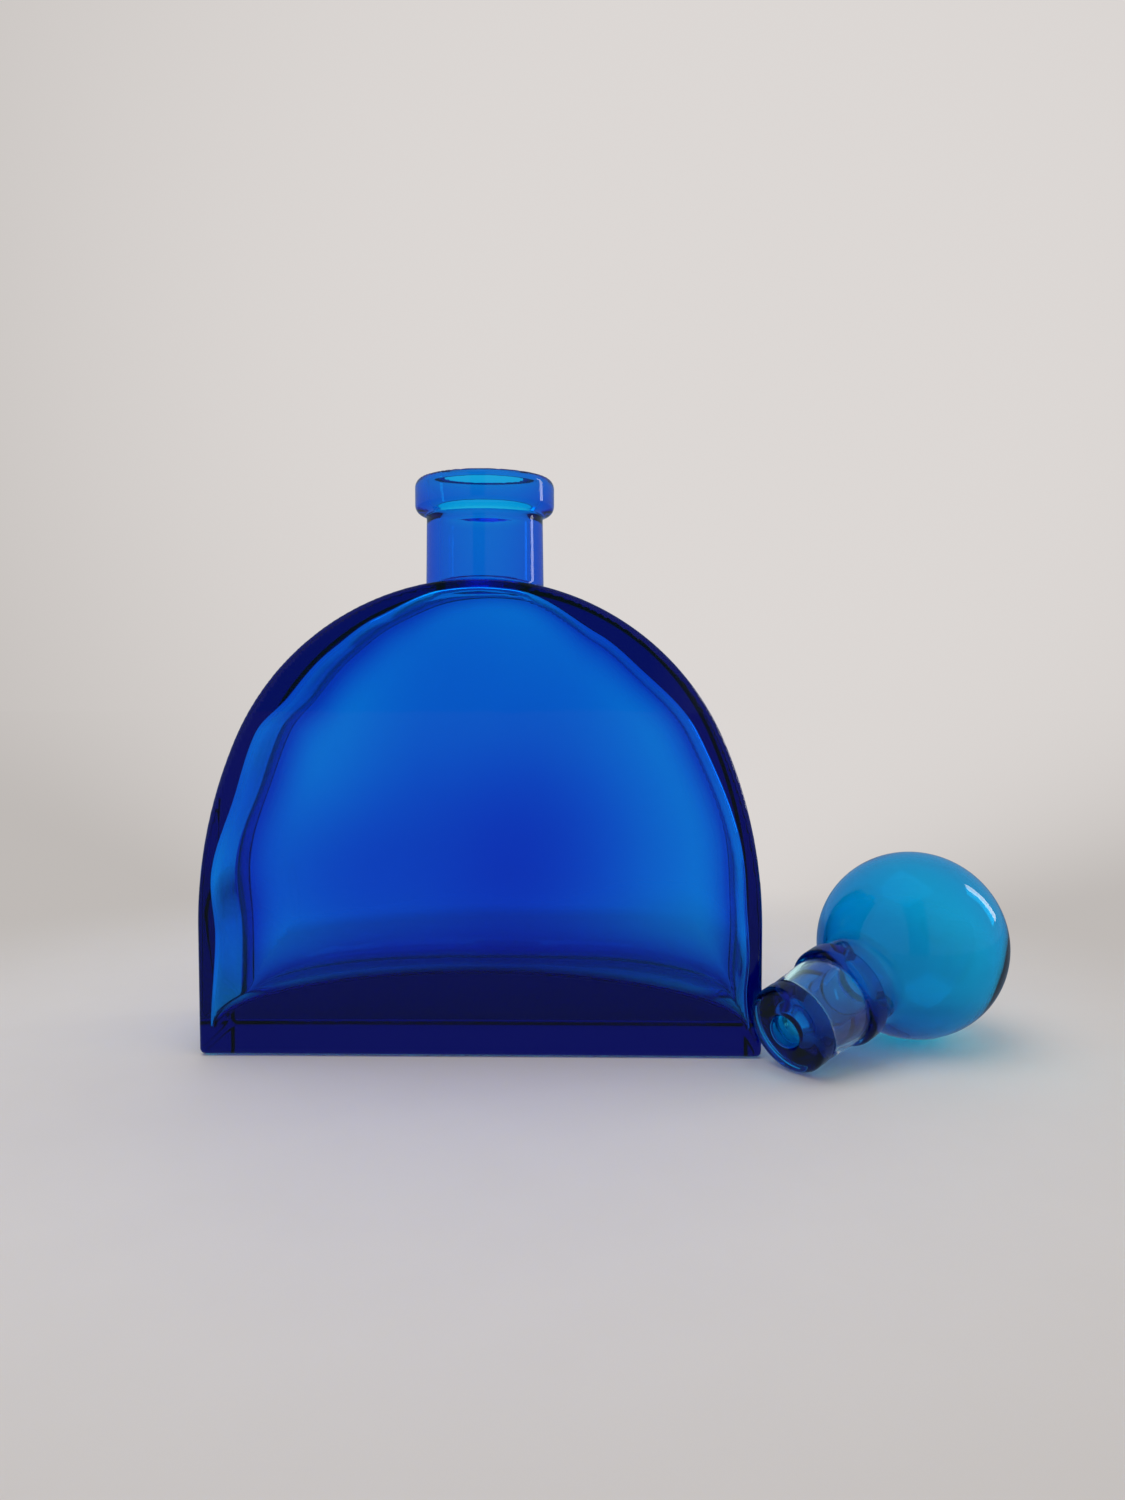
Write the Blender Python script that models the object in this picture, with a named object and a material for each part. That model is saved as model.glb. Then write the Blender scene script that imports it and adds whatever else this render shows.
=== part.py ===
"""Flat arched glass bottle with a loose ball stopper lying beside it.

Frame: metres, +Z up, +X to the right of the bottle's broad face, +Y towards its back. The origin is the
centre of the bottle's flat underside. Three pieces: the bottle, the stopper's glass and its seal sleeve.
"""

from math import asin, atan2, cos, hypot, pi, radians, sin

import bmesh
import bpy
from mathutils import Euler

# ---- bottle body: a slab with an arched outline
BODY_WIDTH = 0.175
BODY_DEPTH = 0.056
CROWN_RADIUS = 0.0820
CROWN_CENTRE_Z = 0.0656
SPRING_Z = 0.0394
FACE_EDGE_ROUND = 0.0018

# ---- cavity
FACE_WALL = 0.0042
SIDE_WALL = 0.0056
CROWN_WALL = 0.0064
FLOOR_EDGE_Z = 0.0070
FLOOR_RISE = 0.0175
FLOOR_START = radians(6.0)
CAVITY_EDGE_ROUND = 0.0070

# ---- neck and ring lip
NECK_TOP_RADIUS = 0.0187
NECK_ROOT_RADIUS = 0.0194
NECK_START_Z = 0.1380
LIP_RADIUS = 0.0226
LIP_BOTTOM_Z = 0.1702
LIP_TOP_Z = 0.1822
LIP_CORNER = 0.0032
BORE_RADIUS = 0.0146
BORE_START_Z = 0.1300
LEDGE_Z = 0.1722
LEDGE_RADIUS = 0.0172
MOUTH_RADIUS = 0.0180
MOUTH_ROUND = 0.0012

# ---- stopper: ball, collar and stem, measured along its own axis from the ball's centre
BALL_RADIUS = 0.0303
BALL_WALL = 0.0018
STEM_LENGTH = 0.0645
STEM_BORE_RADIUS = 0.0050
STEM_BORE_ROUND = 0.0012
THROAT_RADIUS = 0.0063
THROAT_LENGTH = 0.0040
BALL_OPENING_RADIUS = 0.0090
HEAD_RADIUS = 0.0136
HEAD_CORNER = 0.0022
RECESS_START = 0.0578
RECESS_END = 0.0418
RECESS_TIP_RADIUS = 0.0120
RECESS_COLLAR_RADIUS = 0.0129
COLLAR_RADIUS = 0.0160
COLLAR_FRONT_CORNER = 0.0036
COLLAR_BACK_CORNER = 0.0020
COLLAR_BACK = 0.0350
NECKLET_RADIUS = 0.0140

# ---- seal sleeve
SLEEVE_WALL = 0.0011
GAP = 0.0003

# ---- where the stopper lies: the ball's centre over the floor, and the way the stem points away from it
STOPPER_X = 0.1398
STOPPER_Y = -0.0037
STOPPER_AZIMUTH = radians(38.9)

# ---- colours
BOTTLE_COLOUR = (0.0, 0.12, 0.62)
STOPPER_COLOUR = (0.0, 0.27, 0.60)
SLEEVE_COLOUR = (0.85, 0.88, 0.90)
GLASS_ROUGHNESS = 0.02
SLEEVE_ROUGHNESS = 0.25

# ---- how finely round shapes are divided
ARC_STEP = radians(5.0)
FLOOR_STEPS = 9
CORNER_STEPS = 4
SMALL_CORNER_STEPS = 3
BALL_STEPS = 16
BALL_INSIDE_STEPS = 12
NECK_SEGMENTS = 48
STOPPER_SEGMENTS = 40
SMOOTH_UNDER = radians(35.0)
ROUNDED_OVER = radians(40.0)
ON_AXIS = 1e-9


def clear_scene():
    for obj in list(bpy.data.objects):
        bpy.data.objects.remove(obj, do_unlink=True)


def glass(name, colour, roughness):
    """A see-through Principled material."""
    material = bpy.data.materials.new(name)
    material.use_nodes = True
    shader = material.node_tree.nodes["Principled BSDF"]
    shader.inputs["Base Color"].default_value = (*colour, 1.0)
    shader.inputs["Roughness"].default_value = roughness
    shader.inputs["Metallic"].default_value = 0.0
    shader.inputs["Transmission Weight"].default_value = 1.0
    return material


def add_object(name, mesh, material=None, smooth=True):
    obj = bpy.data.objects.new(name, mesh)
    bpy.context.collection.objects.link(obj)
    if material is not None:
        mesh.materials.append(material)
    if smooth:
        mesh.shade_smooth()
        mesh.set_sharp_from_angle(angle=SMOOTH_UNDER)
    return obj


def mark_cutter(obj):
    obj.hide_render = True
    obj.display_type = "WIRE"
    return obj


def arc(centre, radius, start, end, steps):
    """Points on a circle arc, both ends included."""
    return [
        (
            centre[0] + radius * cos(start + (end - start) * i / steps),
            centre[1] + radius * sin(start + (end - start) * i / steps),
        )
        for i in range(steps + 1)
    ]


def arch_half(half_width, crown_radius):
    """Right half of the arch, from the middle of its crown down to where the side stands upright.

    The crown's arc is tangent to a larger side arc, and that one to the upright side at SPRING_Z.
    """
    drop = CROWN_CENTRE_Z - SPRING_Z
    side_radius = (crown_radius**2 - half_width**2 - drop**2) / (2 * (crown_radius - half_width))
    side_centre = (half_width - side_radius, SPRING_Z)
    meet = atan2(drop, side_radius - half_width)
    crown_steps = round((pi / 2 - meet) / ARC_STEP)
    side_steps = round(meet / ARC_STEP) + 1
    crown = arc((0.0, CROWN_CENTRE_Z), crown_radius, pi / 2, meet, crown_steps)
    side = arc(side_centre, side_radius, meet, 0.0, side_steps)
    return crown + side[1:]


def mirrored(half):
    """A closed outline, clockwise from the crown, out of its right half."""
    left = [(-x, z) for x, z in reversed(half) if x > ON_AXIS]
    return half + left


def slab(name, outline, half_depth, material=None):
    """An upright slab: an outline in X and Z, carried from the front to the back."""
    mesh = bpy.data.meshes.new(name)
    bm = bmesh.new()
    face = bm.faces.new([bm.verts.new((x, -half_depth, z)) for x, z in outline])
    moved = bmesh.ops.extrude_face_region(bm, geom=[face])
    back = [v for v in moved["geom"] if isinstance(v, bmesh.types.BMVert)]
    bmesh.ops.translate(bm, vec=(0.0, 2 * half_depth, 0.0), verts=back)
    bmesh.ops.recalc_face_normals(bm, faces=bm.faces)
    bm.to_mesh(mesh)
    bm.free()
    return add_object(name, mesh, material)


def turned(name, profile, segments, material=None):
    """A solid of revolution about Z, from (radius, z) points. A point at radius 0 is a pole."""
    mesh = bpy.data.meshes.new(name)
    bm = bmesh.new()
    rings = []
    for radius, z in profile:
        if radius < ON_AXIS:
            rings.append([bm.verts.new((0.0, 0.0, z))])
        else:
            turn = [2 * pi * i / segments for i in range(segments)]
            rings.append([bm.verts.new((radius * cos(t), radius * sin(t), z)) for t in turn])
    closed = len(rings[0]) > 1
    pairs = list(zip(rings, rings[1:]))
    if closed:
        pairs.append((rings[-1], rings[0]))
    for low, high in pairs:
        for i in range(segments):
            k = (i + 1) % segments
            corners = [low[i % len(low)], low[k % len(low)], high[k % len(high)], high[i % len(high)]]
            bm.faces.new(list(dict.fromkeys(corners)))
    bmesh.ops.recalc_face_normals(bm, faces=bm.faces)
    bm.to_mesh(mesh)
    bm.free()
    return add_object(name, mesh, material)


def bevel_edges(obj, width, segments):
    bevel = obj.modifiers.new("edge_round", "BEVEL")
    bevel.width = width
    bevel.segments = segments
    bevel.limit_method = "ANGLE"
    bevel.angle_limit = ROUNDED_OVER


def boolean(obj, other, operation):
    step = obj.modifiers.new(other.name, "BOOLEAN")
    step.operation = operation
    step.solver = "EXACT"
    step.object = other


def neck_profile():
    """Outside of the neck and lip, from a pole inside the body to a pole level with the lip's top."""
    lower = (LIP_RADIUS - LIP_CORNER, LIP_BOTTOM_Z + LIP_CORNER)
    upper = (LIP_RADIUS - LIP_CORNER, LIP_TOP_Z - LIP_CORNER)
    crown_z = CROWN_CENTRE_Z + CROWN_RADIUS
    neck = [(0.0, NECK_START_Z), (NECK_ROOT_RADIUS, NECK_START_Z), (NECK_ROOT_RADIUS, crown_z)]
    neck.append((NECK_TOP_RADIUS, LIP_BOTTOM_Z))
    lip = arc(lower, LIP_CORNER, -pi / 2, 0.0, CORNER_STEPS)
    lip += arc(upper, LIP_CORNER, 0.0, pi / 2, CORNER_STEPS)
    return neck + lip + [(0.0, LIP_TOP_Z)]


def bore_profile():
    """The bore up to its ledge, then the wider mouth with its rounded rim, and on past the lip's top."""
    bore = [(0.0, BORE_START_Z), (BORE_RADIUS, BORE_START_Z), (BORE_RADIUS, LEDGE_Z), (LEDGE_RADIUS, LEDGE_Z)]
    centre = (MOUTH_RADIUS + MOUTH_ROUND, LIP_TOP_Z - MOUTH_ROUND)
    mouth = arc(centre, MOUTH_ROUND, pi, pi / 2, SMALL_CORNER_STEPS)
    past = LIP_TOP_Z + MOUTH_ROUND
    return bore + mouth + [(mouth[-1][0], past), (0.0, past)]


def cavity_outline():
    """The hollow's outline: an arch inside the body's arch, over a floor that rises to a dome."""
    half_width = BODY_WIDTH / 2 - SIDE_WALL
    half = arch_half(half_width, CROWN_RADIUS - CROWN_WALL)
    for i in range(FLOOR_STEPS + 1):
        turn = FLOOR_START + (pi / 2 - FLOOR_START) * i / FLOOR_STEPS
        half.append((half_width * cos(turn), FLOOR_EDGE_Z + FLOOR_RISE * sin(turn)))
    half[-1] = (0.0, half[-1][1])
    return mirrored(half)


def make_bottle(material):
    base = [(BODY_WIDTH / 2, 0.0)]
    body = slab("bottle", mirrored(arch_half(BODY_WIDTH / 2, CROWN_RADIUS) + base), BODY_DEPTH / 2, material)
    bevel_edges(body, FACE_EDGE_ROUND, 2)
    neck = mark_cutter(turned("neck_shape", neck_profile(), NECK_SEGMENTS))
    cavity = mark_cutter(slab("cavity_shape", cavity_outline(), BODY_DEPTH / 2 - FACE_WALL))
    bevel_edges(cavity, CAVITY_EDGE_ROUND, 3)
    bore = mark_cutter(turned("bore_shape", bore_profile(), NECK_SEGMENTS))
    boolean(body, neck, "UNION")
    boolean(body, cavity, "DIFFERENCE")
    boolean(body, bore, "DIFFERENCE")
    return body


def stopper_profile():
    """The stopper's glass about its own axis: ball centre at 0, stem towards -Z, inside and outside."""
    tip = -STEM_LENGTH
    ball_start = asin(NECKLET_RADIUS / BALL_RADIUS)
    ball = arc((0.0, 0.0), BALL_RADIUS, pi / 2, -pi / 2 + ball_start, BALL_STEPS)
    ball[0] = (0.0, BALL_RADIUS)
    back = (COLLAR_RADIUS - COLLAR_BACK_CORNER, -COLLAR_BACK - COLLAR_BACK_CORNER)
    front = (COLLAR_RADIUS - COLLAR_FRONT_CORNER, -RECESS_END + COLLAR_FRONT_CORNER)
    collar = [(NECKLET_RADIUS, -COLLAR_BACK + GAP)]
    collar += arc(back, COLLAR_BACK_CORNER, pi / 2, 0.0, SMALL_CORNER_STEPS)
    collar += arc(front, COLLAR_FRONT_CORNER, 0.0, -pi / 2, CORNER_STEPS)
    recess = [(RECESS_COLLAR_RADIUS, -RECESS_END), (RECESS_TIP_RADIUS, -RECESS_START)]
    head = [(HEAD_RADIUS, -RECESS_START)]
    head += arc((HEAD_RADIUS - HEAD_CORNER, tip + HEAD_CORNER), HEAD_CORNER, 0.0, -pi / 2, CORNER_STEPS)
    mouth = (STEM_BORE_RADIUS + STEM_BORE_ROUND, tip + STEM_BORE_ROUND)
    hole = arc(mouth, STEM_BORE_ROUND, -pi / 2, -pi, SMALL_CORNER_STEPS)
    throat = [(STEM_BORE_RADIUS, -COLLAR_BACK), (THROAT_RADIUS, -COLLAR_BACK + THROAT_LENGTH)]
    inner_radius = BALL_RADIUS - BALL_WALL
    inner_start = asin(BALL_OPENING_RADIUS / inner_radius)
    inner = arc((0.0, 0.0), inner_radius, -pi / 2 + inner_start, pi / 2, BALL_INSIDE_STEPS)
    inner[-1] = (0.0, inner_radius)
    return ball + collar + recess + head + hole + throat + inner


def sleeve_profile():
    """The sleeve's wall, tapered as the recess that it sits in."""
    inner_tip = (RECESS_TIP_RADIUS + GAP, -RECESS_START + GAP)
    inner_collar = (RECESS_COLLAR_RADIUS + GAP, -RECESS_END - GAP)
    outer_collar = (inner_collar[0] + SLEEVE_WALL, inner_collar[1])
    outer_tip = (inner_tip[0] + SLEEVE_WALL, inner_tip[1])
    return [inner_tip, inner_collar, outer_collar, outer_tip]


def lying_tilt():
    """How far the stem dips when the ball and the rounded rim of the stem's head both touch the floor."""
    reach = STEM_LENGTH - HEAD_CORNER
    rim = HEAD_RADIUS - HEAD_CORNER
    return asin((BALL_RADIUS - HEAD_CORNER) / hypot(reach, rim)) - atan2(rim, reach)


def make_stopper(glass_material, sleeve_material):
    """The stopper's two pieces on one empty at the ball's centre, laid down on the floor."""
    carrier = bpy.data.objects.new("stopper_carrier", None)
    bpy.context.collection.objects.link(carrier)
    carrier.location = (STOPPER_X, STOPPER_Y, BALL_RADIUS)
    carrier.rotation_euler = Euler((0.0, pi / 2 - lying_tilt(), STOPPER_AZIMUTH))
    for name, profile, material in (
        ("stopper_glass", stopper_profile(), glass_material),
        ("seal_sleeve", sleeve_profile(), sleeve_material),
    ):
        piece = turned(name, profile, STOPPER_SEGMENTS, material)
        piece.parent = carrier


def main():
    clear_scene()
    make_bottle(glass("cobalt_glass", BOTTLE_COLOUR, GLASS_ROUGHNESS))
    stopper_material = glass("pale_cobalt_glass", STOPPER_COLOUR, GLASS_ROUGHNESS)
    make_stopper(stopper_material, glass("clear_sleeve", SLEEVE_COLOUR, SLEEVE_ROUGHNESS))


main()
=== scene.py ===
"""Looks of the arched cobalt-glass bottle and of its ball stopper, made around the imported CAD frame.

The bottle is one closed glass skin: an arched slab with a neck and a ring lip, and inside it an uneven blown
hollow over a domed floor. Its shape is a signed distance, from which a fine mesh and exact normals are made.
The stopper and its seal sleeve are turned profiles on the stopper's axis. Everything is in metres.
"""

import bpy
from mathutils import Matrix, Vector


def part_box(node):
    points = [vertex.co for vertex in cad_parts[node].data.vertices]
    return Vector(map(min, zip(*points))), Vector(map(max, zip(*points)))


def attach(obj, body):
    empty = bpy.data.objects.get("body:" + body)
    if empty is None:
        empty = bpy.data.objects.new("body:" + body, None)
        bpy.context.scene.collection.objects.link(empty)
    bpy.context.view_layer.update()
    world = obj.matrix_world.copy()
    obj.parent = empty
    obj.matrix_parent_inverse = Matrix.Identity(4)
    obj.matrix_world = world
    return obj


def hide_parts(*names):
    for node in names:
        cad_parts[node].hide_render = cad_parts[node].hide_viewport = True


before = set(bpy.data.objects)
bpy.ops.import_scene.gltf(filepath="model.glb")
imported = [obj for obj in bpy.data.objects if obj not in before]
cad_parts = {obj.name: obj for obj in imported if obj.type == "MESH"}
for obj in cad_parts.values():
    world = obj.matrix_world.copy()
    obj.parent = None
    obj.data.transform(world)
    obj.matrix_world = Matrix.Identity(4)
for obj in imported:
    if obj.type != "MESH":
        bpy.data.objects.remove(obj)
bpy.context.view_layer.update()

from math import asin, atan2, cos, pi, radians, sin, tan

import bmesh
import bpy
import numpy as np
from mathutils import Vector

# ---- the bottle's outside, read from the frame, and the arch's shape as shares of its width
BOTTLE_LOW, BOTTLE_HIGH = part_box("bottle")
HALF_WIDTH = (BOTTLE_HIGH.x - BOTTLE_LOW.x) / 2
HALF_DEPTH = (BOTTLE_HIGH.y - BOTTLE_LOW.y) / 2
LIP_TOP = BOTTLE_HIGH.z
CROWN_RADIUS = 0.9371 * HALF_WIDTH
CROWN_CENTRE = 0.7497 * HALF_WIDTH
SPRING = 0.4503 * HALF_WIDTH
EDGE_ROUND = 0.0018

# ---- neck and ring lip
NECK_TOP_RADIUS = 0.0187
NECK_ROOT_RADIUS = 0.0193
NECK_BOTTOM = 0.138
NECK_FILLET = 0.0020
LIP_RADIUS = 0.0226
LIP_HEIGHT = 0.0120
LIP_CORNER = 0.0032
LIP_FILLET = 0.0012
BORE_RADIUS = 0.0146
BORE_BOTTOM = 0.132
BORE_FILLET = 0.0026
LEDGE = 0.1705
LEDGE_RADIUS = 0.0176
MOUTH_RADIUS = 0.0192
LEDGE_FILLET = 0.0036
MOUTH_ROUND = 0.0020

# ---- the hollow: side walls as (degrees above the spring line, thickness) marks, up to the neck;
# ---- they change from the left marks to the right ones over the middle
LEFT_WALL = (
    (-22, 0.0024), (-2, 0.0041), (11, 0.0021), (29, 0.0047), (41, 0.0040),
    (51, 0.0069), (62, 0.0060), (72, 0.0047), (84, 0.0023),
)
RIGHT_WALL = (
    (-22, 0.0030), (-14, 0.0040), (-6, 0.0032), (5, 0.0040), (16, 0.0036),
    (42, 0.0056), (58, 0.0078), (68, 0.0068), (84, 0.0023),
)
SIDES_MEET = 0.01

# ---- its broad walls: a heavy middle, a thick cloud low on the left and a thicker top, with faint waves; blown glass is uneven, but these thickenings are also sized to darken the glass where the bottle's own shadow on a wall behind it would, painted shade put into the glass's thickness
FACE_WALL = 0.0030
FACE_BULGE = 0.0048
HEAVY_X = 0.008
HEAVY_X_SHIFT = 0.003
HEAVY_Z = 0.055
HEAVY_RIGHT = 0.046
HEAVY_LEFT = 0.060
HEAVY_HEIGHT = 0.045
CLOUD_SHARE = 0.32
CLOUD_X = -0.060
CLOUD_WIDTH = 0.028
CLOUD_Z = 0.050
CLOUD_Z_SHIFT = -0.004
CLOUD_HEIGHT = 0.024
TOP_SHARE = 0.30
TOP_WIDTH = 0.060
TOP_Z = 0.125
TOP_HEIGHT = 0.030
FACE_WAVE = 0.00022
WAVES = ((98.0, 41.0, 1.3), (-33.0, 74.0, 0.6))

# ---- its rounded edges, sharper near the neck, and its floor
HOLLOW_ROUND = 0.0040
HOLLOW_ROUND_BACK = 0.0160
SOFT_POWER = 2.5
NECK_SHARE = 0.55
NECK_ZONE_WIDTH = 0.026
NECK_ZONE_START = 0.110
NECK_ZONE_END = 0.135
CORNER_ROUND = 0.0016
FLOOR_HALF_WIDTH = 0.0830
FLOOR_EDGE = 0.0070
FLOOR_RISE = 0.0175

# ---- the mesh made from it
GRID = 0.0011
GRID_SHIFT = 0.37 * GRID
MARGIN = 3 * GRID
SETTLE_ROUNDS = 4
RELAX_ROUNDS = 4
FINAL_ROUNDS = 3
SLOPE_REACH = 2e-5
FLAT_TILT = 1e-5
FLAT_REACH = 1e-6
TINY = 1e-9


# ---- distances and their joins

def rounded_max(a, b, radius):
    """Intersection of two solids, its edge rounded."""
    both = np.hypot(np.maximum(a + radius, 0.0), np.maximum(b + radius, 0.0))
    return np.minimum(-radius, np.maximum(a, b)) + both


def softened_max(a, b, radius):
    """Intersection of two solids, its edge rounded without a break in curvature."""
    both = np.maximum(a + radius, 0.0) ** SOFT_POWER + np.maximum(b + radius, 0.0) ** SOFT_POWER
    return np.minimum(-radius, np.maximum(a, b)) + both ** (1.0 / SOFT_POWER)


def rounded_min(a, b, radius):
    """Union of two solids, its inner corner filled with a fillet."""
    return -rounded_max(-a, -b, radius)


def bump(x, centre, half_width):
    """1 at the centre, falling off smoothly on both sides."""
    return np.exp(-(((x - centre) / half_width) ** 2))


def step(x, low, high):
    """0 under low, 1 over high, smooth between them."""
    t = np.clip((x - low) / (high - low), 0.0, 1.0)
    return t * t * (3.0 - 2.0 * t)


def arch_distance(x, z):
    """Distance to the three-centred arch: its crown, its larger side arcs and its upright sides."""
    side = np.abs(x)
    drop = CROWN_CENTRE - SPRING
    side_radius = (CROWN_RADIUS**2 - HALF_WIDTH**2 - drop**2) / (2 * (CROWN_RADIUS - HALF_WIDTH))
    side_centre = HALF_WIDTH - side_radius
    meet = atan2(drop, -side_centre)
    crown = np.hypot(x, z - CROWN_CENTRE) - CROWN_RADIUS
    shoulder = np.hypot(side - side_centre, z - SPRING) - side_radius
    angle = np.arctan2(z - SPRING, side - side_centre)
    return np.where(z < SPRING, side - HALF_WIDTH, np.where(angle < meet, shoulder, crown))


def neck_distance(x, y, z):
    """The neck, a slightly tapered cylinder, and the rounded ring of its lip."""
    rho = np.hypot(x, y)
    share = (z - NECK_BOTTOM) / (LIP_TOP - NECK_BOTTOM)
    radius = NECK_ROOT_RADIUS + (NECK_TOP_RADIUS - NECK_ROOT_RADIUS) * share
    neck = np.maximum(np.maximum(rho - radius, NECK_BOTTOM - z), z - (LIP_TOP - LIP_CORNER))
    across = rho - (LIP_RADIUS - LIP_CORNER)
    along = np.abs(z - (LIP_TOP - LIP_HEIGHT / 2)) - (LIP_HEIGHT / 2 - LIP_CORNER)
    outside = np.hypot(np.maximum(across, 0.0), np.maximum(along, 0.0))
    lip = outside + np.minimum(np.maximum(across, along), 0.0) - LIP_CORNER
    return rounded_min(neck, lip, LIP_FILLET)


def outer_distance(x, y, z):
    """The bottle's outside: the arched slab and the neck."""
    face = np.abs(y) - HALF_DEPTH
    slab = rounded_max(rounded_max(arch_distance(x, z), -z, EDGE_ROUND), face, EDGE_ROUND)
    return rounded_min(slab, neck_distance(x, y, z), NECK_FILLET)


def through(marks, at):
    """A smooth wavy line through (place, value) marks, level at each of them."""
    places, values = (np.array(column) for column in zip(*marks))
    at = np.clip(at, places[0], places[-1])
    after = np.clip(np.searchsorted(places, at), 1, len(places) - 1)
    share = (at - places[after - 1]) / (places[after] - places[after - 1])
    return values[after - 1] + (values[after] - values[after - 1]) * share * share * (3.0 - 2.0 * share)


def side_wall(x, z):
    """The side wall's thickness round the arch: blown glass, so it wanders, and differently on each side."""
    turn = np.degrees(np.arctan2(z - SPRING, np.abs(x)))
    left, right = through(LEFT_WALL, turn), through(RIGHT_WALL, turn)
    return left + (right - left) * step(x, -SIDES_MEET, SIDES_MEET)


def face_wall(x, z, side):
    """The broad walls' thickness on the front (side -1) or the back (side 1); its heavy middle, cloud and
    top partly stand in for the bottle's shadow on a wall behind it, as painted shade.
    """
    middle = HEAVY_X + HEAVY_X_SHIFT * side
    width = np.where(x > middle, HEAVY_RIGHT, HEAVY_LEFT)
    heavy = bump(x, middle, width) * bump(z, HEAVY_Z, HEAVY_HEIGHT)
    cloud = bump(x, CLOUD_X, CLOUD_WIDTH) * bump(z, CLOUD_Z + CLOUD_Z_SHIFT * side, CLOUD_HEIGHT)
    top = bump(x, 0.0, TOP_WIDTH) * bump(z, TOP_Z, TOP_HEIGHT)
    wave = 1.0
    for along_x, along_z, shift in WAVES:
        wave = wave * np.sin(along_x * x + along_z * z + shift * side)
    return FACE_WALL + FACE_BULGE * (heavy + CLOUD_SHARE * cloud + TOP_SHARE * top) + FACE_WAVE * wave


def hollow_distance(x, y, z):
    """The hollow: inside the arch and the broad walls, over the dome of the floor, and up the bore."""
    arch = arch_distance(x, z) + side_wall(x, z)
    low = z - FLOOR_EDGE
    k0 = np.hypot(x / FLOOR_HALF_WIDTH, low / FLOOR_RISE)
    k1 = np.hypot(x / FLOOR_HALF_WIDTH**2, low / FLOOR_RISE**2)
    dome = k0 * (k0 - 1.0) / np.maximum(k1, TINY)
    floor = np.maximum(-dome, -low)
    outline = rounded_max(arch, floor, CORNER_ROUND)
    side = np.sign(y)
    face = np.abs(y) - HALF_DEPTH + face_wall(x, z, side)
    rounding = np.where(side > 0.0, HOLLOW_ROUND_BACK, HOLLOW_ROUND)
    near_neck = bump(x, 0.0, NECK_ZONE_WIDTH) * step(z, NECK_ZONE_START, NECK_ZONE_END)
    rounding = rounding * (1.0 - NECK_SHARE * near_neck)
    body = softened_max(outline, face, rounding)
    rho = np.hypot(x, y)
    bore = np.maximum(rho - BORE_RADIUS, BORE_BOTTOM - z)
    flare = LEDGE_RADIUS + (MOUTH_RADIUS - LEDGE_RADIUS) * (z - LEDGE) / (LIP_TOP - LEDGE)
    mouth = rounded_max(rho - flare, LEDGE - z, LEDGE_FILLET)
    return np.minimum(rounded_min(body, bore, BORE_FILLET), rounded_min(bore, mouth, LEDGE_FILLET))


def bottle_distance(x, y, z):
    """The glass: the outside without the hollow, the rim between them rounded."""
    return rounded_max(outer_distance(x, y, z), -hollow_distance(x, y, z), MOUTH_ROUND)


# ---- from a distance to a mesh

def gradient(field, points):
    """The field's slope at each point, by central differences."""
    slopes = []
    for axis in range(3):
        shift = np.zeros(3)
        shift[axis] = SLOPE_REACH
        slopes.append((field(*(points + shift).T) - field(*(points - shift).T)) / (2 * SLOPE_REACH))
    return np.stack(slopes, axis=1)


def onto_surface(field, points, rounds):
    """Moves the points along the field's slope onto its zero surface."""
    for _ in range(rounds):
        slope = gradient(field, points)
        square = np.maximum((slope**2).sum(1), TINY)
        move = (field(*points.T) / square)[:, None] * slope
        points = points - np.clip(move, -GRID, GRID)
    return points


def surface_nets(field, lines):
    """Points and quads round the field's zero surface, one point in each grid cell that it crosses."""
    grid = np.meshgrid(*lines, indexing="ij", copy=False)
    inside = field(*grid) < 0.0
    cells = tuple(n - 1 for n in inside.shape)
    count = np.zeros(cells, int)
    for i in (0, 1):
        for j in (0, 1):
            for k in (0, 1):
                count += inside[i : cells[0] + i, j : cells[1] + j, k : cells[2] + k]
    crossed = (count > 0) & (count < 8)
    number = np.full(cells, -1)
    number[crossed] = np.arange(crossed.sum())
    at = np.argwhere(crossed)
    points = np.stack([(lines[a][at[:, a]] + lines[a][at[:, a] + 1]) / 2 for a in range(3)], axis=1)
    quads = []
    for axis in range(3):
        u, v = (axis + 1) % 3, (axis + 2) % 3
        swapped = np.moveaxis(inside, (axis, u, v), (0, 1, 2))
        numbers = np.moveaxis(number, (axis, u, v), (0, 1, 2))
        low, high = swapped[:-1, 1:-1, 1:-1], swapped[1:, 1:-1, 1:-1]
        corners = [numbers[:, :-1, :-1], numbers[:, 1:, :-1], numbers[:, 1:, 1:], numbers[:, :-1, 1:]]
        for leaving, order in ((low & ~high, (0, 1, 2, 3)), (~low & high, (3, 2, 1, 0))):
            quads.append(np.stack([corners[o][leaving] for o in order], axis=1))
    return points, np.concatenate(quads)


def relaxed(field, points, quads, rounds):
    """Evens out the points along the surface."""
    starts = quads.ravel()
    ends = np.roll(quads, -1, axis=1).ravel()
    here, there = np.concatenate([starts, ends]), np.concatenate([ends, starts])
    share = np.bincount(here, minlength=len(points))[:, None]
    for _ in range(rounds):
        total = np.stack([np.bincount(here, points[there, a], len(points)) for a in range(3)], axis=1)
        points = onto_surface(field, (points + total / share) / 2, 1)
    return points


def merge_flat_quads(bm):
    """Turns each large flat stretch of the outside into one face."""
    flat = []
    for face in bm.faces:
        upright = abs(abs(face.normal.y) - 1) < FLAT_TILT
        downward = abs(face.normal.z + 1) < FLAT_TILT
        if upright and all(abs(abs(v.co.y) - HALF_DEPTH) < FLAT_REACH for v in face.verts):
            flat.append(face)
        elif downward and all(abs(v.co.z) < FLAT_REACH for v in face.verts):
            flat.append(face)
    chosen = set(flat)
    edges = [e for e in bm.edges if all(f in chosen for f in e.link_faces)]
    bmesh.ops.dissolve_edges(bm, edges=edges, use_verts=True, use_face_split=False)


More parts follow.
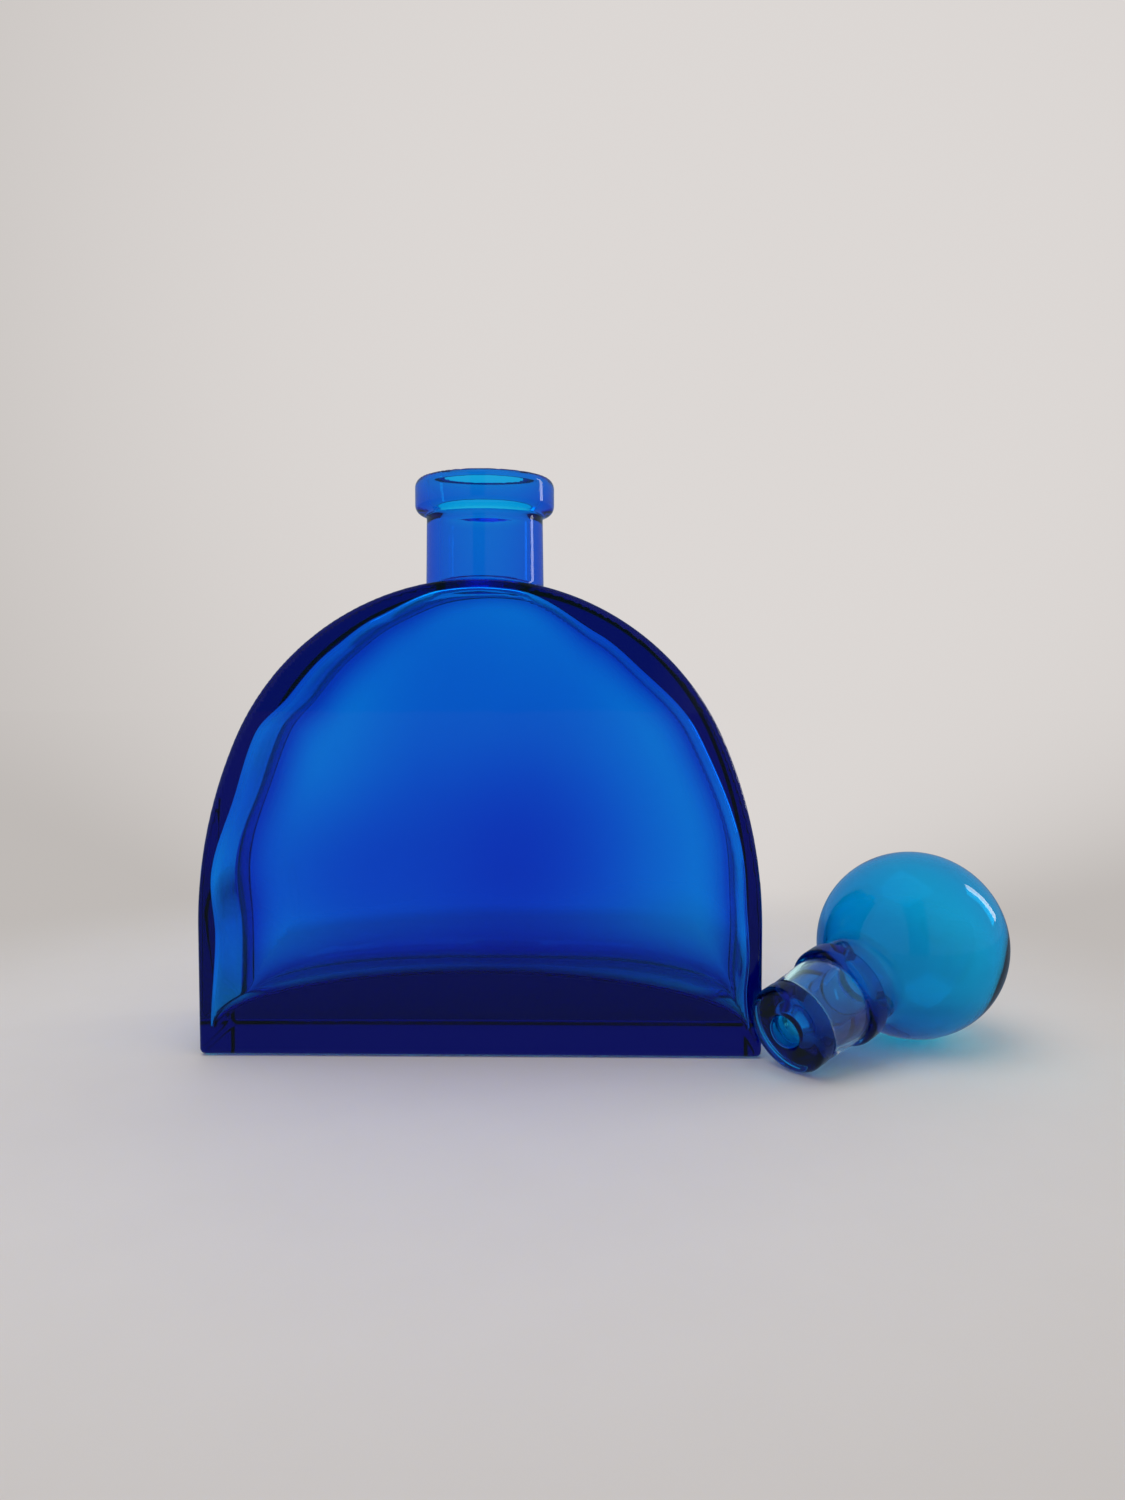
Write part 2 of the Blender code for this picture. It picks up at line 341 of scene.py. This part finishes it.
def make_bottle(material):
    """The bottle's glass as one closed skin with exact normals."""
    lows = (-HALF_WIDTH - MARGIN, -HALF_DEPTH - MARGIN, -MARGIN)
    highs = (HALF_WIDTH + MARGIN, HALF_DEPTH + MARGIN, LIP_TOP + MARGIN)
    lines = [np.arange(low, high, GRID) + GRID_SHIFT for low, high in zip(lows, highs)]
    points, quads = surface_nets(bottle_distance, lines)
    points = onto_surface(bottle_distance, points, SETTLE_ROUNDS)
    points = relaxed(bottle_distance, points, quads, RELAX_ROUNDS)
    points = onto_surface(bottle_distance, points, FINAL_ROUNDS)
    mesh = bpy.data.meshes.new("bottle_skin")
    mesh.from_pydata(points.tolist(), [], quads.tolist())
    bm = bmesh.new()
    bm.from_mesh(mesh)
    bm.normal_update()
    merge_flat_quads(bm)
    bm.to_mesh(mesh)
    bm.free()
    mesh.shade_smooth()
    final = np.zeros(len(mesh.vertices) * 3)
    mesh.vertices.foreach_get("co", final)
    slope = gradient(bottle_distance, final.reshape(-1, 3))
    slope /= np.linalg.norm(slope, axis=1)[:, None]
    mesh.normals_split_custom_set_from_vertices(slope.tolist())
    mesh.materials.append(material)
    obj = bpy.data.objects.new("bottle_skin", mesh)
    bpy.context.collection.objects.link(obj)
    return obj


# ---- turned pieces
ARC_STEP = radians(9.0)
ROUND_LIMIT = 0.49


def rounded_profile(corners, closed=False):
    """A profile in (radius, height) through corners (radius, height, rounding), each rounded by an arc."""
    made = []
    n = len(corners)
    for i, (r, h, rounding) in enumerate(corners):
        here = Vector((r, h))
        if rounding < TINY or (not closed and i in (0, n - 1)):
            made.append(here)
            continue
        before = Vector(corners[i - 1][:2]) - here
        after = Vector(corners[(i + 1) % n][:2]) - here
        half = before.angle(after) / 2
        reach = rounding / tan(half)
        reach = min(reach, ROUND_LIMIT * before.length, ROUND_LIMIT * after.length)
        radius = reach * tan(half)
        centre = here + (before.normalized() + after.normalized()).normalized() * (radius / sin(half))
        start = here + before.normalized() * reach - centre
        end = here + after.normalized() * reach - centre
        turn = start.angle_signed(end)
        steps = max(3, round(abs(turn) / ARC_STEP))
        for k in range(steps + 1):
            a = turn * k / steps
            c, s = cos(-a), sin(-a)
            made.append(centre + Vector((c * start.x - s * start.y, s * start.x + c * start.y)))
    return [(p.x, p.y) for p in made]


def turned(name, profile, segments, material, closed=False):
    """A surface of revolution about Z. A point at radius 0 is a pole."""
    mesh = bpy.data.meshes.new(name)
    bm = bmesh.new()
    rings = []
    for radius, height in profile:
        if radius < TINY:
            rings.append([bm.verts.new((0.0, 0.0, height))])
        else:
            turns = [2 * pi * i / segments for i in range(segments)]
            rings.append([bm.verts.new((radius * cos(t), radius * sin(t), height)) for t in turns])
    pairs = list(zip(rings, rings[1:]))
    if closed:
        pairs.append((rings[-1], rings[0]))
    for low, high in pairs:
        for i in range(segments):
            k = (i + 1) % segments
            corners = [low[i % len(low)], low[k % len(low)], high[k % len(high)], high[i % len(high)]]
            bm.faces.new(list(dict.fromkeys(corners)))
    bmesh.ops.recalc_face_normals(bm, faces=bm.faces)
    bm.to_mesh(mesh)
    bm.free()
    mesh.shade_smooth()
    mesh.materials.append(material)
    obj = bpy.data.objects.new(name, mesh)
    bpy.context.collection.objects.link(obj)
    return obj


# ---- the stopper: its place is read from the frame, its stem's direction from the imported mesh
STOPPER_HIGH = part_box("stopper_glass")[1]
BALL_RADIUS = STOPPER_HIGH.z / 2
BALL_CENTRE = Vector((STOPPER_HIGH.x - BALL_RADIUS, STOPPER_HIGH.y - BALL_RADIUS, BALL_RADIUS))
STEM_LENGTH = 0.0645
TIP_SLAB = 0.0008

# ---- the ball: its wall, thicker towards the stem over these angles from its top, and uneven inside
BALL_WALL = 0.0018
FOOT_WALL = 0.0024
FOOT_START = radians(88.0)
FOOT_END = radians(150.0)
UNEVEN_WALL = 0.0003
UNEVEN_SWING = 0.0006
UNEVEN_START = -0.8
UNEVEN_FULL = -0.4
WANDER = ((2.6, 1.1), (2.2, -0.4), (3.1, 1.7))
BALL_STEPS = 64
INSIDE_STEPS = 60

# ---- the stem, from the ball to its tip
NECKLET_RADIUS = 0.0140
NECKLET_FLARE = 0.0012
NECKLET_LENGTH = 0.0018
COLLAR_RADIUS = 0.0160
COLLAR_BACK = 0.0350
COLLAR_FRONT = 0.0418
RECESS_START = 0.0578
RECESS_TIP_RADIUS = 0.0120
RECESS_COLLAR_RADIUS = 0.0129
HEAD_RADIUS = 0.0136
HOLE_RADIUS = 0.0050
STEM_HOLLOW_RADIUS = 0.0080
HEAD_HOLLOW = 0.0590
HOLLOW_SHOULDER = 0.0045
BALL_OPENING = 0.0105
SLANT = 0.0001
SLEEVE_WALL = 0.0011
SLEEVE_RIM = 0.45 * SLEEVE_WALL
GAP = 0.0003
TURNED_SEGMENTS = 128


def stem_direction():
    """From the ball's centre to the middle of the stem's tip."""
    far = [v.co - BALL_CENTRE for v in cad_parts["stopper_glass"].data.vertices]
    reach = max(p.length for p in far)
    tip = [p for p in far if p.length > reach - TIP_SLAB]
    return (sum(tip, Vector()) / len(tip)).normalized()


def ball_outside(end):
    """Outside of the ball, from its top to the angle at which the stem starts."""
    turns = [end * i / BALL_STEPS for i in range(BALL_STEPS + 1)]
    return [(BALL_RADIUS * sin(turn), BALL_RADIUS * cos(turn)) for turn in turns]


def ball_inside():
    """Inside of the ball, from the opening of the stem's hole to the top."""
    start = pi - asin(BALL_OPENING / (BALL_RADIUS - BALL_WALL - FOOT_WALL))
    points = []
    for i in range(INSIDE_STEPS + 1):
        turn = start * (1.0 - i / INSIDE_STEPS)
        radius = BALL_RADIUS - BALL_WALL - FOOT_WALL * float(step(turn, FOOT_START, FOOT_END))
        points.append((radius * sin(turn), radius * cos(turn)))
    return points


def stopper_profile():
    """Outside from the ball's top to the tip of the stem, then up the hole and round inside the ball."""
    outside = ball_outside(pi - asin((NECKLET_RADIUS + NECKLET_FLARE) / BALL_RADIUS))
    inside = ball_inside()
    last = outside[-1]
    shoulder = rounded_profile([
        (last[0], last[1], 0.0),
        (NECKLET_RADIUS - 4 * SLANT, last[1] - NECKLET_LENGTH, 0.0030),
        (NECKLET_RADIUS - 2 * SLANT, -COLLAR_BACK, 0.0012),
        (COLLAR_RADIUS, -COLLAR_BACK - 2 * SLANT, 0.0021),
        (COLLAR_RADIUS, -COLLAR_FRONT, 0.0036),
        (RECESS_COLLAR_RADIUS, -COLLAR_FRONT - SLANT, 0.0004),
        (RECESS_TIP_RADIUS, -RECESS_START, 0.0004),
        (HEAD_RADIUS, -RECESS_START - SLANT, 0.0007),
        (HEAD_RADIUS, -STEM_LENGTH, 0.0022),
        (HOLE_RADIUS, -STEM_LENGTH, 0.0013),
        (HOLE_RADIUS, -HEAD_HOLLOW, 0.0020),
        (STEM_HOLLOW_RADIUS, -HEAD_HOLLOW + HOLLOW_SHOULDER, 0.0040),
        (STEM_HOLLOW_RADIUS, -COLLAR_BACK, 0.0060),
        (*inside[0], 0.0),
    ])
    return outside[:-1] + shoulder[:-1] + inside


def wander(x, y, z):
    """An uneven value between -1 and 1 round the ball, from two slow waves."""
    (x_turn, x_shift), (y_turn, y_shift), (z_turn, tilt) = WANDER
    across = sin(x_turn * x + x_shift) * cos(y_turn * y + y_shift)
    return (across + sin(z_turn * z + tilt * y)) / 2


def make_stopper(material):
    """The stopper's glass; the ball is blown, so the inside of its wall wanders a little."""
    obj = turned("stopper_glass_skin", stopper_profile(), TURNED_SEGMENTS, material)
    inner = BALL_RADIUS - BALL_WALL
    for v in obj.data.vertices:
        x, y, z = v.co / inner
        if v.co.length < inner + UNEVEN_WALL / 2 and z > UNEVEN_START:
            fade = float(step(z, UNEVEN_START, UNEVEN_FULL))
            v.co *= 1.0 - fade * (UNEVEN_WALL + UNEVEN_SWING * wander(x, y, z)) / inner
    return obj


def make_sleeve(material):
    """A thin tapered ring in the stem's recess, its rims rounded."""
    tip = (RECESS_TIP_RADIUS + GAP, -RECESS_START + GAP)
    collar = (RECESS_COLLAR_RADIUS + GAP, -COLLAR_FRONT - GAP)
    profile = rounded_profile([
        (*tip, SLEEVE_RIM),
        (*collar, SLEEVE_RIM),
        (collar[0] + SLEEVE_WALL, collar[1], SLEEVE_RIM),
        (tip[0] + SLEEVE_WALL, tip[1], SLEEVE_RIM),
    ], closed=True)
    return turned("seal_sleeve_skin", profile, TURNED_SEGMENTS, material, closed=True)


def lay_down(obj):
    """Moves a piece from the stopper's own axis, stem towards -Z, to where the frame's stopper lies."""
    turn = (-stem_direction()).to_track_quat("Z", "Y").to_matrix().to_4x4()
    turn.translation = BALL_CENTRE
    obj.data.transform(turn)
    obj.data.update()


# ---- node helpers: each makes a node, links what it is given, and returns the output to link on

def noise(nodes, links, place, scale, detail):
    """A cloudy value round one half."""
    node = nodes.new("ShaderNodeTexNoise")
    node.inputs["Scale"].default_value = scale
    node.inputs["Detail"].default_value = detail
    links.new(place, node.inputs["Vector"])
    return node.outputs["Fac"]


def ranged(nodes, links, value, low, high, top=1.0, curve="SMOOTHSTEP"):
    """0 where the value is low, top where it is high."""
    node = nodes.new("ShaderNodeMapRange")
    node.interpolation_type = curve
    node.inputs["From Min"].default_value = low
    node.inputs["From Max"].default_value = high
    node.inputs["To Max"].default_value = top
    links.new(value, node.inputs["Value"])
    return node.outputs["Result"]


def coloured(nodes, links, value, low, high, low_colour, high_colour):
    """The first colour where the value is low, the second where it is high."""
    node = nodes.new("ShaderNodeValToRGB")
    for mark, place, colour in zip(node.color_ramp.elements, (low, high), (low_colour, high_colour)):
        mark.position = place
        mark.color = (*colour, 1.0)
    links.new(value, node.inputs["Fac"])
    return node.outputs["Color"]


def mixed(nodes, links, low, high, share):
    """A colour from low to high, each a colour or a socket, by the share socket."""
    node = nodes.new("ShaderNodeMix")
    node.data_type = "RGBA"
    links.new(share, node.inputs["Factor"])
    for name, colour in (("A", low), ("B", high)):
        if isinstance(colour, tuple):
            node.inputs[name].default_value = (*colour, 1.0)
        else:
            links.new(colour, node.inputs[name])
    return node.outputs["Result"]


def two_to_one(nodes, links, operation, first, second):
    """One value made from two."""
    node = nodes.new("ShaderNodeMath")
    node.operation = operation
    links.new(first, node.inputs[0])
    links.new(second, node.inputs[1])
    return node.outputs["Value"]


def vector_node(nodes, links, operation, vector):
    """A node that works on one vector."""
    node = nodes.new("ShaderNodeVectorMath")
    node.operation = operation
    links.new(vector, node.inputs[0])
    return node


# ---- materials: the glass is coloured inside, by how much of each colour it lets through
GLASS_IOR = 1.5
GLASS_DENSITY = 1200.0
BOTTLE_LETS_THROUGH = (0.0, 0.825, 0.969)
STOPPER_LETS_THROUGH = (0.0, 0.845, 0.945)

# ---- its faint smudges, patches of tint and ripples
SMUDGE_SCALE = 34.0
SMUDGE_DETAIL = 4.0
SMUDGE_START = 0.52
SMUDGE_FULL = 0.80
BOTTLE_SMUDGE = 0.035
STOPPER_SMUDGE = 0.03
TINT_FULL = 0.35
TINT_END = 0.62
TINT = (0.93, 0.965, 1.0)
NO_TINT = (1.0, 1.0, 1.0)
RIPPLE_HEIGHT = 0.00002
RIPPLE_DETAIL = 1.0
BOTTLE_RIPPLES = 55.0
STOPPER_RIPPLES = 80.0

# ---- the sleeve's plastic, which bends light less than the glass
SLEEVE_IOR = 1.16
SLEEVE_SCALE = 160.0
SLEEVE_DETAIL = 3.0
SLEEVE_ROUGHNESS = 0.05
SLEEVE_MILKY = (0.92, 0.94, 0.96)
SLEEVE_CLEAR = (0.97, 0.98, 0.99)


def glass(name, lets_through, smudge, ripple_scale):
    """Clear glass coloured by what it absorbs on the way through, with faint smudges and ripples."""
    material = bpy.data.materials.new(name)
    material.use_nodes = True
    nodes, links = material.node_tree.nodes, material.node_tree.links
    shader = nodes["Principled BSDF"]
    shader.inputs["Transmission Weight"].default_value = 1.0
    shader.inputs["IOR"].default_value = GLASS_IOR
    place = nodes.new("ShaderNodeTexCoord").outputs["Object"]
    cloud = noise(nodes, links, place, SMUDGE_SCALE, SMUDGE_DETAIL)
    rough = ranged(nodes, links, cloud, SMUDGE_START, SMUDGE_FULL, smudge, "LINEAR")
    tint = coloured(nodes, links, cloud, TINT_FULL, TINT_END, TINT, NO_TINT)
    ripples = nodes.new("ShaderNodeBump")
    ripples.inputs["Strength"].default_value = 1.0
    ripples.inputs["Distance"].default_value = RIPPLE_HEIGHT
    waves = noise(nodes, links, place, ripple_scale, RIPPLE_DETAIL)
    absorb = nodes.new("ShaderNodeVolumeAbsorption")
    absorb.inputs["Color"].default_value = (*lets_through, 1.0)
    absorb.inputs["Density"].default_value = GLASS_DENSITY
    links.new(rough, shader.inputs["Roughness"])
    links.new(tint, shader.inputs["Base Color"])
    links.new(waves, ripples.inputs["Height"])
    links.new(ripples.outputs["Normal"], shader.inputs["Normal"])
    links.new(absorb.outputs["Volume"], nodes["Material Output"].inputs["Volume"])
    return material


def sleeve_plastic():
    """Clear soft plastic, satin, slightly milky in places."""
    material = bpy.data.materials.new("clear_sleeve")
    material.use_nodes = True
    nodes, links = material.node_tree.nodes, material.node_tree.links
    shader = nodes["Principled BSDF"]
    shader.inputs["Transmission Weight"].default_value = 1.0
    shader.inputs["IOR"].default_value = SLEEVE_IOR
    place = nodes.new("ShaderNodeTexCoord").outputs["Object"]
    cloud = noise(nodes, links, place, SLEEVE_SCALE, SLEEVE_DETAIL)
    rough = ranged(nodes, links, cloud, 0.0, 1.0, SLEEVE_ROUGHNESS, "LINEAR")
    tint = coloured(nodes, links, cloud, 0.0, 1.0, SLEEVE_MILKY, SLEEVE_CLEAR)
    links.new(rough, shader.inputs["Roughness"])
    links.new(tint, shader.inputs["Base Color"])
    return material


# ---- the room: what the camera sees of its walls, brightest in one direction
WALL_COLOUR = (0.72, 0.685, 0.665)
WALL_EDGE_COLOUR = (0.52, 0.49, 0.47)
WALL_BRIGHTEST = (0.13, 0.95, 0.28)
BRIGHTEST_WITHIN = radians(4.0)
EDGE_FROM = radians(48.0)

# ---- what is seen through glass, and the light that glass lets onto the floor
SEEN_THROUGH = (0.56, 0.84, 0.83)
GLOW = (1.20, 4.20, 3.00)

# ---- what glass mirrors: a dark middle in front, a paler room at the sides and behind, and the floor
MIRRORED_MIDDLE = (0.06, 0.15, 0.20)
MIRRORED_SIDES = (0.20, 0.27, 0.38)
MIRRORED_FLOOR = (0.12, 0.17, 0.24)
MIDDLE_TO_RIGHT = (0.05, 0.12)
MIDDLE_TO_LEFT = (-0.28, -0.35)
FRONT_TO_BACK = (-0.5, -0.2)

# ---- the floor, a little under the part, and the distances over which it fades into the walls
FLOOR_COLOUR = (0.80, 0.785, 0.775)
FLOOR_DARKER = 0.965
FLOOR_ROUGHNESS = 0.55
FLOOR_GLOSS = 0.3
FLOOR_SCALE = 45.0
FLOOR_DETAIL = 6.0
FLOOR_DROP = 0.0003
FLOOR_REACH = 6.0
FADE_START = 0.15
FADE_END = 0.32


def mirrored_ray(nodes, links):
    """1 for a ray that a smooth surface mirrored, else 0."""
    path = nodes.new("ShaderNodeLightPath")
    glossy, reflected = path.outputs["Is Glossy Ray"], path.outputs["Is Reflection Ray"]
    return two_to_one(nodes, links, "MULTIPLY", glossy, reflected)


def room_light(nodes, links, direction):
    """The room's colour in that direction, for the camera, through glass and in a mirroring surface."""
    towards = vector_node(nodes, links, "DOT_PRODUCT", direction)
    towards.inputs[1].default_value = Vector(WALL_BRIGHTEST).normalized()
    spread = ranged(nodes, links, towards.outputs["Value"], cos(EDGE_FROM), cos(BRIGHTEST_WITHIN))
    wall = mixed(nodes, links, WALL_EDGE_COLOUR, WALL_COLOUR, spread)
    path = nodes.new("ShaderNodeLightPath")
    glow = mixed(nodes, links, SEEN_THROUGH, GLOW, path.outputs["Diffuse Depth"])
    beyond = mixed(nodes, links, wall, glow, path.outputs["Is Transmission Ray"])
    split = nodes.new("ShaderNodeSeparateXYZ")
    links.new(direction, split.inputs[0])
    right = ranged(nodes, links, split.outputs["X"], *MIDDLE_TO_RIGHT)
    left = ranged(nodes, links, split.outputs["X"], *MIDDLE_TO_LEFT)
    behind = ranged(nodes, links, split.outputs["Y"], *FRONT_TO_BACK)
    aside = two_to_one(nodes, links, "MAXIMUM", right, left)
    anywhere = two_to_one(nodes, links, "MAXIMUM", aside, behind)
    mirror = mixed(nodes, links, MIRRORED_MIDDLE, MIRRORED_SIDES, anywhere)
    return mixed(nodes, links, beyond, mirror, mirrored_ray(nodes, links))


def make_world():
    """Pale walls all round."""
    world = bpy.data.worlds.new("pale_walls")
    bpy.context.scene.world = world
    world.use_nodes = True
    nodes, links = world.node_tree.nodes, world.node_tree.links
    direction = nodes.new("ShaderNodeTexCoord").outputs["Generated"]
    links.new(room_light(nodes, links, direction), nodes["Background"].inputs["Color"])


def pale_floor():
    """Pale and faintly mottled; further off it takes the room's colour, so that no horizon line shows."""
    material = bpy.data.materials.new("pale_floor")
    material.use_nodes = True
    nodes, links = material.node_tree.nodes, material.node_tree.links
    shader = nodes["Principled BSDF"]
    shader.inputs["Roughness"].default_value = FLOOR_ROUGHNESS
    shader.inputs["Specular IOR Level"].default_value = FLOOR_GLOSS
    place = nodes.new("ShaderNodeTexCoord").outputs["Object"]
    mottle = noise(nodes, links, place, FLOOR_SCALE, FLOOR_DETAIL)
    darker = tuple(FLOOR_DARKER * c for c in FLOOR_COLOUR)
    shade = coloured(nodes, links, mottle, 0.0, 1.0, darker, FLOOR_COLOUR)
    links.new(shade, shader.inputs["Base Color"])
    mirrored = mirrored_ray(nodes, links)
    outward = vector_node(nodes, links, "NORMALIZE", place).outputs["Vector"]
    beyond = room_light(nodes, links, outward)
    far = nodes.new("ShaderNodeEmission")
    links.new(mixed(nodes, links, beyond, MIRRORED_FLOOR, mirrored), far.inputs["Color"])
    distance = vector_node(nodes, links, "LENGTH", place).outputs["Value"]
    fade = ranged(nodes, links, distance, FADE_START, FADE_END)
    mix = nodes.new("ShaderNodeMixShader")
    links.new(two_to_one(nodes, links, "MAXIMUM", fade, mirrored), mix.inputs["Fac"])
    links.new(shader.outputs["BSDF"], mix.inputs[1])
    links.new(far.outputs["Emission"], mix.inputs[2])
    links.new(mix.outputs["Shader"], nodes["Material Output"].inputs["Surface"])
    return material


def make_floor():
    """A wide flat floor."""
    mesh = bpy.data.meshes.new("floor")
    bm = bmesh.new()
    bmesh.ops.create_grid(bm, x_segments=2, y_segments=2, size=FLOOR_REACH)
    bm.to_mesh(mesh)
    bm.free()
    mesh.materials.append(pale_floor())
    obj = bpy.data.objects.new("floor", mesh)
    obj.location = (0.0, 0.0, -FLOOR_DROP)
    bpy.context.collection.objects.link(obj)


# ---- lights and camera: angles in radians, the lens in millimetres
WARM_WHITE = (1.0, 0.97, 0.93)
WHITE = (1.0, 1.0, 1.0)
BOUNCES = 24
GLOSSY_BOUNCES = 12
BRIGHTEST_BOUNCE = 4.0
CAMERA_PLACE = (0.0322, -0.3715, 0.1132)
CAMERA_YAW = -0.0184
CAMERA_PITCH = -0.0522
CAMERA_LENS = 27.048
CAMERA_NEAREST = 0.01


def area_light(name, place, aim, size, power, colour):
    """A rectangular light that the camera doesn't see."""
    light = bpy.data.lights.new(name, "AREA")
    light.shape = "RECTANGLE"
    light.size, light.size_y = size
    light.energy = power
    light.color = colour
    obj = bpy.data.objects.new(name, light)
    obj.location = place
    obj.rotation_euler = (Vector(aim) - Vector(place)).to_track_quat("-Z", "Y").to_euler()
    obj.visible_camera = False
    bpy.context.collection.objects.link(obj)
    return obj


def make_lights():
    """A slim window light from the right and a wide ceiling light that no smooth surface mirrors."""
    window = {"place": (0.95, 0.35, 0.42), "aim": (0.05, 0.0, 0.06), "size": (0.14, 0.50)}
    area_light("window", power=0.8, colour=WARM_WHITE, **window)
    overhead = {"place": (-0.20, -0.10, 1.1), "aim": (0.0, 0.0, 0.0), "size": (0.9, 0.9)}
    ceiling = area_light("ceiling", power=4.2, colour=WHITE, **overhead)
    ceiling.visible_glossy = False


def set_up_scene():
    """Plain view of the colours, and enough bounces for glass behind glass."""
    scene = bpy.context.scene
    scene.view_settings.view_transform = "Standard"
    scene.cycles.max_bounces = BOUNCES
    scene.cycles.glossy_bounces = GLOSSY_BOUNCES
    scene.cycles.transmission_bounces = BOUNCES
    scene.cycles.sample_clamp_indirect = BRIGHTEST_BOUNCE


def make_camera():
    """A level wide view of the front, turned and tilted a little."""
    camera = bpy.data.cameras.new("camera")
    camera.lens = CAMERA_LENS
    camera.clip_start = CAMERA_NEAREST
    obj = bpy.data.objects.new("camera", camera)
    obj.location = CAMERA_PLACE
    level = cos(CAMERA_PITCH)
    forward = Vector((sin(CAMERA_YAW) * level, cos(CAMERA_YAW) * level, sin(CAMERA_PITCH)))
    obj.rotation_euler = forward.to_track_quat("-Z", "Y").to_euler()
    bpy.context.collection.objects.link(obj)
    bpy.context.scene.camera = obj


make_camera()
set_up_scene()
make_world()
make_lights()
make_floor()

bottle_glass = glass("cobalt_glass", BOTTLE_LETS_THROUGH, BOTTLE_SMUDGE, BOTTLE_RIPPLES)
stopper_glass = glass("thin_cobalt_glass", STOPPER_LETS_THROUGH, STOPPER_SMUDGE, STOPPER_RIPPLES)

bottle = make_bottle(bottle_glass)
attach(bottle, "bottle")
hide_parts("bottle")

stopper = make_stopper(stopper_glass)
lay_down(stopper)
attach(stopper, "stopper")
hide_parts("stopper_glass")

sleeve = make_sleeve(sleeve_plastic())
lay_down(sleeve)
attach(sleeve, "stopper")
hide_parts("seal_sleeve")
